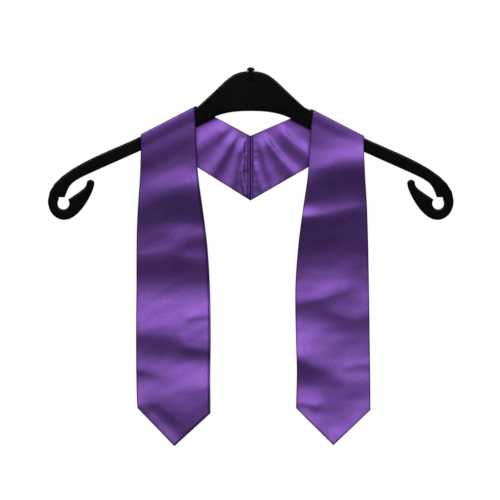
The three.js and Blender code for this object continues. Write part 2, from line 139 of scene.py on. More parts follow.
LEFT = dict(
    sign=-1,
    slide=0.0,
    peek=LINING_PEEK,
    corners=dict(inner=1.006, outer=0.995),
    station=dict(inner=(0.037, 0.0, -0.05), outer=(1.082, 1.016, 0.965)),
    edges=[
        edge_row(0.15, 0.19, -0.059),
        edge_row(0.23, 0.164, -0.047),
        edge_row(0.31, 0.121, -0.025),
        edge_row(0.39, 0.077, -0.006),
        edge_row(0.47, 0.04, 0.0),
        edge_row(0.6, 0.009, 0.002),
        edge_row(0.76, -0.003, 0.004),
        edge_row(0.88, 0.003, 0.0),
        edge_row(0.97, 0.0, -0.011),
        edge_row(1.01, -0.001, -0.026),
    ],
    front=[
        fold(((0.08, 0.2), (0.48, 0.19), (0.95, 0.23)), 0.3, 0.16, 0.08, -1.1),
        fold(((0.12, 0.272), (0.52, 0.278), (0.91, 0.331)), 0.2, 0.27, 0.027, 2.8, left=0.6),
        fold(((0.05, 0.383), (0.5, 0.381), (0.95, 0.383)), 0.2, 0.14, 0.007, -1.0),
        fold(((0.06, 0.432), (0.25, 0.432), (0.42, 0.44)), 0.13, 0.11, 0.02, 0.5),
        fold(((0.98, 0.497), (0.75, 0.495), (0.47, 0.47)), 0.14, 0.27, 0.02, 1.7),
        fold(((0.06, 0.51), (0.25, 0.507), (0.44, 0.497)), 0.094, 0.16, 0.02, 0.8),
        fold(((0.05, 0.6), (0.45, 0.605), (0.8, 0.59)), 0.28, 0.45, 0.05, -1.5),
        fold(((0.02, 0.755), (0.41, 0.747), (0.91, 0.745)), 0.37, 0.22, 0.05, 3.3),
        fold(((0.01, 0.69), (0.13, 0.689), (0.27, 0.695)), 0.12, 0.06, 0.01, 0.6),
        fold(((0.01, 0.805), (0.15, 0.803), (0.33, 0.793)), 0.11, 0.09, 0.011, 1.2),
        fold(((0.02, 0.94), (0.44, 0.957), (0.95, 0.967)), 0.37, 0.42, 0.054, 5.4, left=0.25),
        fold(((0.0, 1.1), (0.2, 1.13), (0.45, 1.2)), 0.4, 0.2, 0.05, 5.0),
        fold(((0.99, 0.868), (0.87, 0.872), (0.7, 0.885)), 0.18, 0.07, 0.014, 1.1, left=0.3),
        fold(((0.87, 0.975), (0.68, 0.983), (0.42, 1.035)), 0.35, 0.12, 0.015, 1.6),
        fold(((0.99, 1.0), (0.75, 1.06), (0.51, 1.13)), 0.12, 0.08, 0.027, 2.0),
    ],
    back=[
        pleat(((0.32, -0.18), (0.52, 0.0), (0.83, 0.2)), 0.16, 0.11, 0.02, 1.8),
        pleat(((0.2, -0.06), (0.38, 0.24), (0.62, 0.6)), 0.14, 0.09, 0.012, 2.1),
        pleat(((0.15, 0.02), (0.21, 0.4), (0.31, 0.8)), 0.08, 0.06, 0.012, 1.6),
        pleat(((0.085, 0.02), (0.12, 0.25), (0.095, 0.5)), 0.04, 0.025, 0.006, 0.9),
        pleat(((0.105, 0.35), (0.13, 0.62), (0.08, 0.9)), 0.035, 0.025, 0.006, 1.2),
    ],
)

RIGHT = dict(
    sign=1,
    slide=RIGHT_SLIDE,
    peek=0.0,
    corners=dict(inner=0.995, outer=1.001),
    station=dict(inner=(0.058, 0.032, -0.037), outer=(1.055, 1.011, 0.969)),
    edges=[
        edge_row(0.15, 0.182, -0.082),
        edge_row(0.23, 0.159, -0.066),
        edge_row(0.31, 0.113, -0.044),
        edge_row(0.39, 0.067, -0.03),
        edge_row(0.47, 0.03, -0.02),
        edge_row(0.6, -0.005, -0.011),
        edge_row(0.76, 0.001, -0.004),
        edge_row(0.88, 0.013, 0.0),
        edge_row(0.97, 0.004, 0.001),
        edge_row(1.01, 0.0, 0.0),
    ],
    front=[
        fold(((0.19, 0.245), (0.51, 0.202), (0.93, 0.192)), 0.25, 0.27, 0.027, 3.6, left=1.4),
        fold(((0.03, 0.371), (0.36, 0.364), (0.76, 0.345)), 0.13, 0.19, 0.016, 4.7, left=0.4),
        fold(((0.05, 0.437), (0.23, 0.434), (0.49, 0.421)), 0.094, 0.094, 0.027, 0.5),
        fold(((0.1, 0.545), (0.5, 0.53), (0.9, 0.53)), 0.31, 0.4, 0.06, -1.25),
        fold(((0.0, 0.646), (0.32, 0.629), (0.64, 0.606)), 0.27, 0.11, 0.016, 1.3),
        fold(((0.99, 0.682), (0.73, 0.692), (0.41, 0.656)), 0.25, 0.12, 0.03, 1.2),
        fold(((0.0, 0.832), (0.3, 0.856), (0.68, 0.91)), 0.3, 0.21, 0.016, 4.9, left=0.3),
        fold(((0.99, 0.85), (0.86, 0.85), (0.73, 0.858)), 0.09, 0.06, 0.013, 0.5),
        fold(((0.99, 0.925), (0.74, 0.932), (0.51, 0.95)), 0.2, 0.3, 0.05, 0.8),
        fold(((0.0, 0.977), (0.11, 0.977), (0.26, 0.986)), 0.12, 0.06, 0.01, 0.7),
        fold(((0.05, 1.14), (0.5, 1.18), (0.95, 1.14)), 0.54, 0.27, 0.08, 10.2),
    ],
    back=[
        pleat(((0.45, -0.18), (0.6, 0.07), (0.92, 0.3)), 0.08, 0.14, 0.012, 1.8),
        pleat(((0.2, -0.05), (0.36, 0.24), (0.68, 0.6)), 0.06, 0.11, 0.01, 1.8),
        pleat(((0.13, 0.0), (0.21, 0.36), (0.34, 0.78)), 0.07, 0.07, 0.01, 1.4),
        pleat(((0.08, 0.4), (0.11, 0.62), (0.2, 0.9)), 0.05, 0.05, 0.008, 1.1),
    ],
)
print("folds chalked:", {h["sign"]: len(h["front"]) + len(h["back"]) for h in (LEFT, RIGHT)})

# %% [markdown]
# Before it can have folds, the cloth needs its plain shape. A grid of places is laid out row by
# row: down the front panel, round the arm's edge, and down behind to the seam. The rows and
# columns lie closer together near the edges, because the turned edge is rounded there.

# %% Ways between numbers
BORDER = np.array([0, 0.12, 0.35, 0.7, 1.2, 2.0])
SEAM_REACH, SEAM_STEP = 7.0, 0.35  # the seam has fine relief, so the rows stay close beside it
SEAM_BORDER = np.concatenate([BORDER[:3], np.arange(BORDER[3], SEAM_REACH, SEAM_STEP)])
NO_BORDER = np.zeros(1)


def mix(first, second, share):
    """first + (second - first) * share"""
    return first + (second - first) * share


def ease(low, high, value):
    """0 below low, 1 above high, and 3 t^2 - 2 t^3 between."""
    t = np.clip((value - low) / (high - low), 0, 1)
    return t * t * (3 - 2 * t)


def spaced(length, step, first=BORDER, last=BORDER):
    """Places from 0 to length about a step apart, with closer ones in the borders."""
    start = first
    stop = length - last[::-1]
    count = round((stop[0] - start[-1]) / step) + 1
    return np.concatenate([start[:-1], np.linspace(start[-1], stop[0], count), stop[1:]])


def through(known, values, wanted):
    """A smooth curve through known values: cubic Hermite pieces with slopes from the neighbours."""
    known, values = np.asarray(known), np.asarray(values)
    last = len(known) - 1
    after, before = np.minimum(np.arange(last + 1) + 1, last), np.maximum(np.arange(last + 1) - 1, 0)
    slopes = (values[after] - values[before]) / (known[after] - known[before])
    i = np.clip(np.searchsorted(known, wanted, side="right") - 1, 0, last - 1)
    span = known[i + 1] - known[i]
    t = (wanted - known[i]) / span
    level = values[i] * (2 * t**3 - 3 * t**2 + 1) + values[i + 1] * (3 * t**2 - 2 * t**3)
    return level + span * (slopes[i] * (t**3 - 2 * t**2 + t) + slopes[i + 1] * (t**3 - t**2))


print("close border, mm:", BORDER)

# %% [markdown]
# The front panel lies between its two edges, which are known as how far each strays from a straight
# strip at a few heights. A smooth curve through them gives the edge at every height. Its upper end
# is where the strip comes off the arm.


# %% The edges of a panel
def station(half, edge):
    """Lengths along the arm of an edge of the strip, at the front, the top and the back."""
    return [FOLD_START + half["slide"] + share * SHOULDER_WIDTH for share in half["station"][edge]]


def panel_edge(half, edge):
    """Height where an edge of the front panel leaves the arm, and a curve of how far out it lies."""
    out, up = from_arm(station(half, edge)[0], FOLD_DEPTH)
    straight = OUTER_REACH + half["slide"] - (STOLE_WIDTH if edge == "inner" else 0)
    drops = [ARM_UP - up] + [row["down"] * PANEL_DROP for row in half["edges"]]
    outs = [out] + [straight + row[edge] * STOLE_WIDTH for row in half["edges"]]
    return up, lambda height: through(drops, outs, ARM_UP - height)


print("top of the left panel's inner edge, mm up:", round(panel_edge(LEFT, "inner")[0], 1))

# %% [markdown]
# Between the edges, a half is one grid of rows from the point to the seam. Cloth can't bend sharply
# in its own plane as it passes from the panel onto the sloping arm, so its lines are smoothed
# there. Near the corners the rows bend down step by step into the point.

# %% The grid of a half
FRONT_STEP = 1.0
BACK_RUN = 102.0  # from the arm to the seam, along the middle of the strip
BACK_STEP = 1.0
OVER_STEPS = 30
ACROSS_STEP = 1.3
SMOOTH_ROWS = 6.0  # spread of the smoothing that eases the strip round the arm
SMOOTH_REACH = (25, 45)  # and how far from the arm's top it fades out
INSET_REACH = (0.05, 0.3)  # shares of the drop over which the face draws back from its lining
POINT_POWER = 5  # how late the rows bend down into the point
FAR = 99.0  # a distance that no edge treatment reaches


def eased(values, weight):
    """Values smoothed down the columns by a bell of SMOOTH_ROWS rows, as far as the weight says."""
    reach = int(3 * SMOOTH_ROWS)
    padded = np.pad(values, ((reach, reach), (0, 0)), mode="edge")
    bell = np.exp(-0.5 * (np.arange(-reach, reach + 1) / SMOOTH_ROWS) ** 2)
    bell /= bell.sum()
    smooth = sum(share * padded[i : i + len(values)] for i, share in enumerate(bell))
    return mix(values, smooth, weight)


def plain_strip(half, neck_inset, lower_peek):
    """Grid of a half's middle surface: rows from the point to the seam, columns from the neck edge.

    On the front, the place is mixed between the two edge curves. On the arm, it turns from front
    to back. Behind, it runs straight to the seam. All are then read on the arm's ruler.
    """
    drop = spaced(PANEL_DROP, FRONT_STEP, last=NO_BORDER)[:-1]
    turn = np.linspace(1, -1, OVER_STEPS + 1)
    behind = spaced(BACK_RUN, BACK_STEP, NO_BORDER, SEAM_BORDER)[1:] / BACK_RUN
    down = np.concatenate([1 - drop / PANEL_DROP, np.zeros(len(turn) + len(behind))])
    shown = neck_inset * ease(*INSET_REACH, down)[:, None] / STOLE_WIDTH
    across = mix(shown, 1, spaced(STOLE_WIDTH, ACROSS_STEP)[None] / STOLE_WIDTH)
    front, over, back = np.split(across, [len(drop), len(drop) + len(turn)])

    down = (1 - drop / PANEL_DROP)[:, None]
    inner_top, inner_out = panel_edge(half, "inner")
    outer_top, outer_out = panel_edge(half, "outer")
    inner_up = mix(inner_top, ARM_UP - half["corners"]["inner"] * PANEL_DROP, down)
    outer_up = mix(outer_top, ARM_UP - half["corners"]["outer"] * PANEL_DROP, down)
    out = mix(inner_out(inner_up), outer_out(outer_up), front)
    to_point = 1 - np.abs(2 * front - 1)
    peek = np.where(front < 0.5, lower_peek * (1 - front), 0)
    up = mix(inner_up, outer_up, front) - (POINT_DROP * to_point + peek) * down**POINT_POWER
    front_along, front_depth = to_arm(out, up)

    inner, outer = station(half, "inner"), station(half, "outer")
    side = np.where(turn > 0, 0, 2)
    inner_along = mix(inner[1], np.array(inner)[side], np.abs(turn))[:, None]
    outer_along = mix(outer[1], np.array(outer)[side], np.abs(turn))[:, None]
    over_along = mix(inner_along, outer_along, over)

    start = from_arm(mix(inner[2], outer[2], back), FOLD_DEPTH)
    seam = (half["sign"] * SEAM_X + SEAM_GAP / 2, ARM_UP - NECK_DROP - back * SEAM_LENGTH)
    back_along, back_depth = to_arm(*(mix(a, b, behind[:, None]) for a, b in zip(start, seam)))

    along = np.concatenate([front_along, over_along, back_along])
    over_top = np.concatenate([
        QUARTER + front_depth - FOLD_DEPTH,
        np.broadcast_to(turn[:, None] * QUARTER, over_along.shape),
        FOLD_DEPTH - QUARTER - back_depth,
    ])
    along = eased(along, 1 - ease(*SMOOTH_REACH, np.abs(over_top)))
    from_ends = np.concatenate([drop, np.full(len(turn), FAR), (1 - behind) * BACK_RUN])
    from_sides = np.minimum(across, 1 - across) * STOLE_WIDTH
    from_edge = np.minimum(from_ends[:, None], from_sides - shown * STOLE_WIDTH * (across < 0.5))
    return along, over_top, across, from_edge


trial_strip = plain_strip(LEFT, 0, 0)
print("rows and columns of a half:", trial_strip[0].shape)

# %% [markdown]
# The grid still counts on the arm's own ruler. The top of the arm is flat and its edges are
# rounded, so on either side the strip runs flat, turns a quarter of a circle and falls straight.
# The middle of the top is a little higher, because cloth never lies quite tight.


# %% Over the arm
def on_arm(half, along, over_top):
    """Points of the strip: flat over the arm's top, round a corner, and straight down past it.

    The run from the top's middle is cut into a flat, a quarter circle and the straight rest.
    """
    run = np.abs(over_top)
    angle = np.clip((run - FLAT) / FOLD_CORNER, 0, math.pi / 2)
    forward = np.minimum(run, FLAT) + FOLD_CORNER * np.sin(angle)
    fall = np.maximum(run - FLAT - FOLD_CORNER * math.pi / 2, 0) + FOLD_CORNER * (1 - np.cos(angle))
    slack = FOLD_SLACK * (1 - ease(0, QUARTER, run))
    out, up = from_arm(along, FOLD_DEPTH - FOLD_REACH - slack + fall)
    return np.stack([half["sign"] * out, HANGER_MIDDLE - np.sign(over_top) * forward, up], axis=-1)


def outward(half, points):
    """Unit normals on the side that faces out: the column's direction crossed with the row's."""
    normal = np.cross(np.gradient(points, axis=1), np.gradient(points, axis=0)) * half["sign"]
    return normal / np.linalg.norm(normal, axis=-1, keepdims=True)


trial = on_arm(LEFT, *trial_strip[:2])
print("normal in the middle of the left panel:", outward(LEFT, trial)[200, 30].round(2))

# %% [markdown]
# Now the folds. The height that a fold adds depends only on how far a place lies from its crest,
# and on which side. The crest is a smooth curve through three places. It is cut into a few dozen
# straights, and each place is measured from the nearest point on them.

# %% One fold
PANEL_UNIT = np.array([STOLE_WIDTH, PANEL_DROP])  # what the places on a panel are shares of
SEAM_UNIT = np.array([SEAM_LENGTH, SEAM_LENGTH])  # and those on the back
CREST_POINTS = 31
FALL = 1.6  # how squarely a fold falls away from its crest
PLEAT_SPREAD = (0.55, 1.3)  # a pleat's width at its first and last place, as shares
PLEAT_RISE = (-0.1, 0.4)  # shares of the crest between which a pleat rises
TINY = 1e-6  # keeps a distance of nothing out of a division


def fold_height(east, north, row, unit):
    """lift * exp(-(r / width) ^ FALL), r the rounded distance sqrt(d^2 + rounding^2) - rounding.

    The width changes from the one below the crest to the one above with the direction from it.
    A pleat is nothing at the neck edge, where it is sewn flat, and grows along its crest.
    """
    t = np.linspace(0, 1, CREST_POINTS)[:, None]
    first, middle, last = (np.array(place) * unit * (1, -1) for place in row["crest"])
    bend = 2 * middle - (first + last) / 2
    crest = (1 - t) ** 2 * first + 2 * t * (1 - t) * bend + t**2 * last
    slope = 2 * (1 - t) * (bend - first) + 2 * t * (last - bend)
    above = np.stack([-slope[:, 1], slope[:, 0]], axis=-1)
    above *= np.where(above[:, 1:] < 0, -1, 1) / np.linalg.norm(above, axis=-1, keepdims=True)
    place = np.stack([east, north], axis=-1)
    nearest = np.linalg.norm(place[..., None, :] - crest, axis=-1).argmin(axis=-1)
    apart = place - crest[nearest]
    length = np.linalg.norm(slope, axis=-1)[nearest]
    along = (apart * slope[nearest]).sum(axis=-1) / length
    reach = length / (CREST_POINTS - 1) / 2
    passed = np.clip(along, -reach * (nearest > 0), reach * (nearest < CREST_POINTS - 1))
    square = (apart * above[nearest]).sum(axis=-1)
    distance = np.hypot(square, along - passed)
    side = square / np.maximum(distance, TINY)
    share = nearest / (CREST_POINTS - 1) + passed / length
    spread = mix(1, mix(*PLEAT_SPREAD, share), row["fan"]) * unit[0]
    width = mix(row["below"], row["above"], (side + 1) / 2) * spread
    rounding = row["rounding"] * spread
    fallen = (np.sqrt(distance**2 + rounding**2) - rounding) / width
    lift = row["lift"] * mix(1, row["left"], ease(0, 1, share))
    lift *= mix(1, ease(*PLEAT_RISE, share), row["fan"])
    return lift * np.exp(-(fallen**FALL))


last_fold = LEFT["front"][-1]
at_crest = fold_height(*(np.array(last_fold["crest"][1]) * PANEL_UNIT * (1, -1)), last_fold, PANEL_UNIT)
print("height at the crest of the left panel's last fold, mm:", at_crest.round(2))

# %% [markdown]
# No hung cloth is without faint waves, and no seam lies quite flat. The centre back has a groove
# where the two halves meet, a stitched welt beside it, and cloth that the thread has puckered.

# %% Ripples and the seam
RIPPLE_LENGTHS = (14, 18, 23, 29, 37)
RIPPLE_TURN = 0.5  # spread of their directions about upright
SEAM_BELLS = [
    dict(tall=0.5, at=1.5, wide=0.6),  # the stitched welt
    dict(tall=-0.3, at=2.8, wide=0.6),  # the dip where it ends
    dict(tall=-0.7, at=0.0, wide=0.5),  # the groove
]
PUCKER = dict(tall=0.07, at=6.0, wide=3.0)
PUCKER_WAVES = ((0.6, 8.1), (0.4, 5.3))  # share and length of each


def ripples(half, east, north, seed, tall):
    """Faint waves that no hung cloth is without: sines of a few lengths and directions, summed."""
    random = np.random.default_rng(seed + half["sign"])
    total = np.zeros_like(east)
    for length in RIPPLE_LENGTHS:
        angle = random.normal(math.pi / 2, RIPPLE_TURN)
        wave = 2 * math.pi * (east * math.cos(angle) + north * math.sin(angle)) / length
        total += length / RIPPLE_LENGTHS[-1] * np.sin(wave + random.uniform(0, 2 * math.pi))
    return tall * total


def bell(away, tall, at, wide):
    """tall * exp(-((away - at) / wide)^2)"""
    return tall * np.exp(-(((away - at) / wide) ** 2))


def seam_relief(away, up):
    """The seam at the centre back: a groove, a stitched welt beside it and its puckered edge.

    Bells across the seam, and sines along it that a bell keeps to the puckered edge.
    """
    waves = sum(share * np.sin(2 * math.pi * up / length) for share, length in PUCKER_WAVES)
    return sum(bell(away, **row) for row in SEAM_BELLS) + waves * bell(away, **PUCKER)


print("depth of the groove, mm:", -seam_relief(np.zeros(1), np.zeros(1)).round(2))

# %% [markdown]
# Cloth can't sink into the arm that it lies on, so valleys begin below the arm, while ridges may
# begin on it. The front also springs off the arm just below its turn and leans back onto it, and
# the whole panel sways in and then out again, as hung satin does. The back only has to stay clear
# of the hanger in front of it, and its pleats get more room below the arm.

# %% The relief of a half
SOFTENED = 0.8  # how softly the cloth goes from a valley that the arm holds up to a free ridge
RIDGE_START = (-1.0, -0.3)  # from the arm's lower edge, as shares of its depth: -1 is its top edge
VALLEY_START = (0.0, 1.0)
SPRING_END = (-0.87, -0.3)
FRONT_SPRING = 1.0  # how far the cloth stands off the arm just below its turn
FRONT_RIPPLE = dict(seed=11, tall=0.045)

HANG_IN, HANG_IN_SPAN = 6.5, (0.1, 0.6)  # a panel sways in towards its middle
HANG_OUT, HANG_OUT_SPAN = 6.0, (0.45, 1.2)  # and its point curls out, by shares of the drop

BACK_LEAN = 0.05  # slope of the back, which comes forward below the arms
BACK_SET = 1.2  # how far the back hangs behind the arm, which leaves room for its folds
BACK_CLEAR = 0.3  # the most that the back may come towards the hanger
BACK_ROOM, BACK_ROOM_SPAN = 6.0, (0, 15)  # how much more it may, so many millimetres below the arm
BACK_START = (2, 22)  # millimetres past the turn over which the back takes on its relief
BACK_RIPPLE = dict(seed=23, tall=0.05)


def on_arm_depth(below_arm, span):
    """How far a span of shares of the arm's depth is passed, eased from 0 to 1."""
    return ease(span[0] * ARM_DEPTH, span[1] * ARM_DEPTH, below_arm)


def front_relief(half, out, up, below_arm, over_top):
    """How far the front stands out: folds and ripples off the arm, the spring at it, and the sway.

    Of the sum of folds f, the ridges are (f + sqrt(f^2 + SOFTENED^2)) / 2 and the valleys the rest.
    """
    east, north = out - (OUTER_REACH + half["slide"] - STOLE_WIDTH), up - ARM_UP
    folds = sum(fold_height(east, north, row, PANEL_UNIT) for row in half["front"])
    folds = folds + ripples(half, east, north, **FRONT_RIPPLE)
    ridges = (folds + np.hypot(folds, SOFTENED)) / 2
    front = ridges * on_arm_depth(below_arm, RIDGE_START)
    front += (folds - ridges) * on_arm_depth(below_arm, VALLEY_START)
    sprung = ease(FLAT, QUARTER - FLAT, over_top) * (1 - on_arm_depth(below_arm, SPRING_END))
    down = -north / PANEL_DROP
    sway = (HANG_IN + HANG_OUT) * ease(*HANG_OUT_SPAN, down) - HANG_IN * ease(*HANG_IN_SPAN, down)
    return front + FRONT_SPRING * sprung + sway


def back_relief(half, out, up, below_arm, over_top):
    """How far the back comes inwards: its pleats, ripples, seam and lean, kept clear of the arm."""
    east, north = out, up - (ARM_UP - NECK_DROP)
    inward = sum(fold_height(east, north, row, SEAM_UNIT) for row in half["back"])
    inward = inward + ripples(half, east, north, **BACK_RIPPLE) - BACK_SET
    inward += seam_relief(out - half["sign"] * SEAM_X, up)
    inward += BACK_LEAN * np.maximum(below_arm, 0)
    room = BACK_CLEAR + BACK_ROOM * ease(*BACK_ROOM_SPAN, below_arm)
    past_turn = np.maximum(-over_top - QUARTER, 0)
    return np.minimum(inward, room) * ease(*BACK_START, past_turn)


def relief(half, points, over_top):
    """How far the cloth stands out of its plain shape, on the side that faces out."""
    out, up = half["sign"] * points[..., 0], points[..., 2]
    place = (half, out, up, to_arm(out, up)[1] - ARM_DEPTH, over_top)
    return np.where(over_top > 0, front_relief(*place), -back_relief(*place))


trial_relief = relief(LEFT, trial, trial_strip[1])
print("relief of the left half, mm:", trial_relief.min().round(2), "to", trial_relief.max().round(2))

# %% [markdown]
# A stole is two plies, a face and a lining, sewn edge to edge and turned. Each ply becomes one
# closed skin: an outer sheet, an inner sheet and a rim that joins them. It also gets a map, in
# metres across the cloth and along it, which its weave will follow, and an attribute that marks
# the narrow strip along its edge where the finish paints shade into the colour.

# %% Closed skins
SHARP = math.radians(50)  # edges that bend more than this stay sharp in the shading


def put_in_mesh(name, points, faces, uv=None, hem=None):
    """A mesh object from points in millimetres. Its faces turn outwards: its volume is positive."""
    fan = np.concatenate([faces[:, [0, i, i + 1]] for i in range(1, faces.shape[1] - 1)])
    a, b, c = (points[fan[:, i]] for i in range(3))
    if (a * np.cross(b, c)).sum() < 0:
        faces = faces[:, ::-1]
    mesh = bpy.data.meshes.new(name)
    mesh.from_pydata((points * MM).tolist(), [], faces.tolist())
    if uv is not None:
        corners = np.empty(len(mesh.loops), dtype=np.int32)
        mesh.loops.foreach_get("vertex_index", corners)
        mesh.uv_layers.new(name="cloth").data.foreach_set("uv", (uv * MM)[corners].ravel())
        mesh.attributes.new("hem", "FLOAT", "POINT").data.foreach_set("value", hem)
    mesh.shade_smooth()
    mesh.set_sharp_from_angle(angle=SHARP)
    piece = bpy.data.objects.new(name, mesh)
    bpy.context.scene.collection.objects.link(piece)
    return piece


def closed_ply(name, outer, inner, uv, hem):
    """Two grids of one shape, with a rim between their borders."""
    rows, columns = outer.shape[:2]
    number = np.arange(rows * columns).reshape(rows, columns)
    corners = [number[:-1, :-1], number[:-1, 1:], number[1:, 1:], number[1:, :-1]]
    sheet = np.stack(corners, axis=-1).reshape(-1, 4)
    border = np.concatenate([number[0, :-1], number[:-1, -1], number[-1, :0:-1], number[:0:-1, 0]])
    after = np.roll(border, -1)
    rim = np.stack([after, border, border + number.size, after + number.size], axis=-1)
    faces = np.concatenate([sheet, sheet[:, ::-1] + number.size, rim])
    points = np.concatenate([outer.reshape(-1, 3), inner.reshape(-1, 3)])
    return put_in_mesh(name, points, faces, np.tile(uv.reshape(-1, 2), (2, 1)), np.tile(hem.ravel(), 2))


print("edges stay sharp from a bend of", round(math.degrees(SHARP)), "degrees")

# %% [markdown]
# Towards the edge the outer sheet rolls in to meet the other ply, as a quarter of a circle, and a
# few millimetres in from it the turned-in seam allowance makes the ply a hair thicker. At the
# centre back the two halves press against each other, and neither passes the seam.

# %% The four plies
EDGE_ROLL = 0.9
LEAST_ROLL = 0.0064  # share of the roll that isn't drawn, so the very edge stays a tenth as thick
ALLOWANCE = 8.0  # width of the cloth turned in along the edge
ALLOWANCE_FADE = 2.0  # and how far either side of its border it thins out
ALLOWANCE_STEP = 0.05
PAINTED_SHADE_SPAN = (0.4, 2.2)  # painted shade along the edge is whole up to the first distance and has ended at the second
PAINTED_SHADE_FROM_SEAM = (1, 5)  # and there is none at the centre back, where the halves are sewn together


def ply_thickness(from_edge):
    """PLY * sqrt(1 - (1 - e)^2) with e the share of the roll, plus the step of the allowance."""
    roll = np.sqrt(1 - (1 - np.clip(from_edge / EDGE_ROLL, LEAST_ROLL, 1)) ** 2)
    single = ease(ALLOWANCE - ALLOWANCE_FADE, ALLOWANCE + ALLOWANCE_FADE, from_edge)
    return roll * (PLY + ALLOWANCE_STEP * (1 - single))


def own_side(half, points):
    """Points that would cross the centre-back seam stop at their own side of its gap."""
    away = np.maximum(half["sign"] * (points[..., :1] - SEAM_X), SEAM_GAP / 2)
    return np.concatenate([SEAM_X + half["sign"] * away, points[..., 1:]], axis=-1)


def make_ply(name, half, facing, neck_inset, lower_peek):
    """A ply on the outer side of the middle surface (facing 1) or on the inner side (facing -1)."""
    along, over_top, across, from_edge = plain_strip(half, neck_inset, lower_peek)
    plain = on_arm(half, along, over_top)
    middle = plain + outward(half, plain) * relief(half, plain, over_top)[..., None]
    normal = outward(half, middle)
    near = facing * PLY_GAP / 2
    far = near + facing * ply_thickness(from_edge)
    steps = np.linalg.norm(np.diff(middle[:, middle.shape[1] // 2], axis=0), axis=-1)
    run = np.concatenate([[0], np.cumsum(steps)])
    uv = np.stack([across * STOLE_WIDTH, np.broadcast_to(run[:, None], across.shape)], axis=-1)
    from_seam = np.abs(middle[..., 0] - SEAM_X)
    # painted shade along the edge: the colour is darkened there, as for a rolled edge turned from the
    # light
    hem = (1 - ease(*PAINTED_SHADE_SPAN, from_edge)) * ease(*PAINTED_SHADE_FROM_SEAM, from_seam)
    outer = own_side(half, middle + normal * far[..., None])
    piece = closed_ply(name, outer, own_side(half, middle + normal * near), uv, hem)
    print(name, "triangles:", 2 * len(piece.data.polygons), "length, mm:", run[-1].round(1))
    return piece


plies = {}
for side, half in (("left", LEFT), ("right", RIGHT)):
    plies[f"stole_{side}_face"] = make_ply(f"{side}_face_cloth", half, 1, half["peek"], 0)
    plies[f"stole_{side}_lining"] = make_ply(f"{side}_lining_cloth", half, -1, 0, half["peek"])

# %% [markdown]
# The hanger and its peg are right as they are, but their meshes are loose triangles, which show
# every facet. A copy with its corners merged can be shaded smooth, and weighted normals keep the
# big flat sides flat while the rounded edge stays soft.


# %% Smooth copies of the hard pieces
MERGE_DIGITS = 4  # decimals of a millimetre to which corners have to agree


def smooth_copy(node, name):
    """The node's triangles with equal corners merged, in millimetres again."""
    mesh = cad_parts[node].data
    points = np.empty(len(mesh.vertices) * 3)
    mesh.vertices.foreach_get("co", points)
    corners = np.empty(len(mesh.loops), dtype=np.int32)
    mesh.loops.foreach_get("vertex_index", corners)
    rounded = (points.reshape(-1, 3) / MM).round(MERGE_DIGITS)
    merged, index = np.unique(rounded, axis=0, return_inverse=True)
    faces = index.ravel()[corners].reshape(-1, 3)
    distinct = (faces != np.roll(faces, 1, axis=1)).all(axis=1)
    piece = put_in_mesh(name, merged, faces[distinct])
    piece.modifiers.new("flat sides", "WEIGHTED_NORMAL").keep_sharp = True
    print(name, "corners:", len(points) // 3, "merged to", len(merged))
    return piece


hard = {node: smooth_copy(node, f"{node}_moulded") for node in ("hanger", "hook_peg")}

# %% [markdown]
# Finishes are small pieces of arithmetic on the surface, so it helps to write them as such. A
# wrapped socket turns Python's own signs into Math nodes.


# %% A socket as a number
class Value:
    """An output socket that can be added to, taken from, multiplied and made positive."""

    def __init__(self, nodes, socket):
        self.nodes, self.socket = nodes, socket

    def math(self, operation, first, second=0.0):
        return self.nodes.node("ShaderNodeMath", {"operation": operation}, {0: first, 1: second})

    def __add__(self, other):
        return self.math("ADD", self, other)

    def __sub__(self, other):
        return self.math("SUBTRACT", self, other)

    def __rsub__(self, other):
        return self.math("SUBTRACT", other, self)

    def __mul__(self, other):
        return self.math("MULTIPLY", self, other)

    def __abs__(self):
        return self.math("ABSOLUTE", self)

    __radd__ = __add__
    __rmul__ = __mul__


print("signs that a socket takes:", [name for name in vars(Value) if name.startswith("__r")])

# %% [markdown]
# One method adds any other node. It belongs to a node tree, and both a material and the surround
# of the studio have one. A finish adds the nodes that are wanted most often: noise, a blend of two
# colours, and the sockets of the shader.


# %% Node trees
class Nodes:
    """The node tree of a material or a world, to which nodes are added one by one."""

    def __init__(self, owner):
        owner.use_nodes = True
        self.tree = owner.node_tree

    def feed(self, socket, value):
        """A link where the value is a socket of another node, or else a constant."""
        if isinstance(value, Value):
            self.tree.links.new(value.socket, socket)
        else:
            socket.default_value = value

    def node(self, kind, settings, values, output=0):
        """A node with its settings first, then the values or links of its sockets."""
        made = self.tree.nodes.new(kind)
        for name, setting in settings.items():
            setattr(made, name, setting)
        for name, value in values.items():
            self.feed(made.inputs[name], value)
        return Value(self, made.outputs[output])

    def spread(self, value, *, start=0.0, end=1.0, first=0.0, last=1.0):
        """first + (last - first) * (value - start) / (end - start), kept between first and last."""
        ends = {"From Min": start, "From Max": end, "To Min": first, "To Max": last}
        return self.node("ShaderNodeMapRange", {}, {"Value": value, **ends})


class Finish(Nodes):
    """A material with ways to vary its surface from place to place."""

    def __init__(self, name):
        self.material = bpy.data.materials.new(name)
        super().__init__(self.material)
        self.shader = self.tree.nodes["Principled BSDF"]

    def noise(self, place, stretch, detail=2.0):
        """Cloudy values from 0 to 1, with so many clouds to a metre each way."""
        turned = self.node("ShaderNodeMapping", {}, {"Vector": place, "Scale": stretch})
        return self.node("ShaderNodeTexNoise", {}, {"Vector": turned, "Scale": 1.0, "Detail": detail})

    def blend(self, share, first, second):
        """A colour between two, by a share. The node's colour sockets only differ by number."""
        settings = {"data_type": "RGBA"}
        return self.node("ShaderNodeMix", settings, {0: share, 6: first, 7: second}, output=2)

    def surface(self, **values):
        """Sets the shader's sockets, named with underscores for spaces."""
        for name, value in values.items():
            self.feed(self.shader.inputs[name.replace("_", " ")], value)
        return self.material


print("ways to vary a finish:", [name for name in vars(Finish) if not name.startswith("_")])
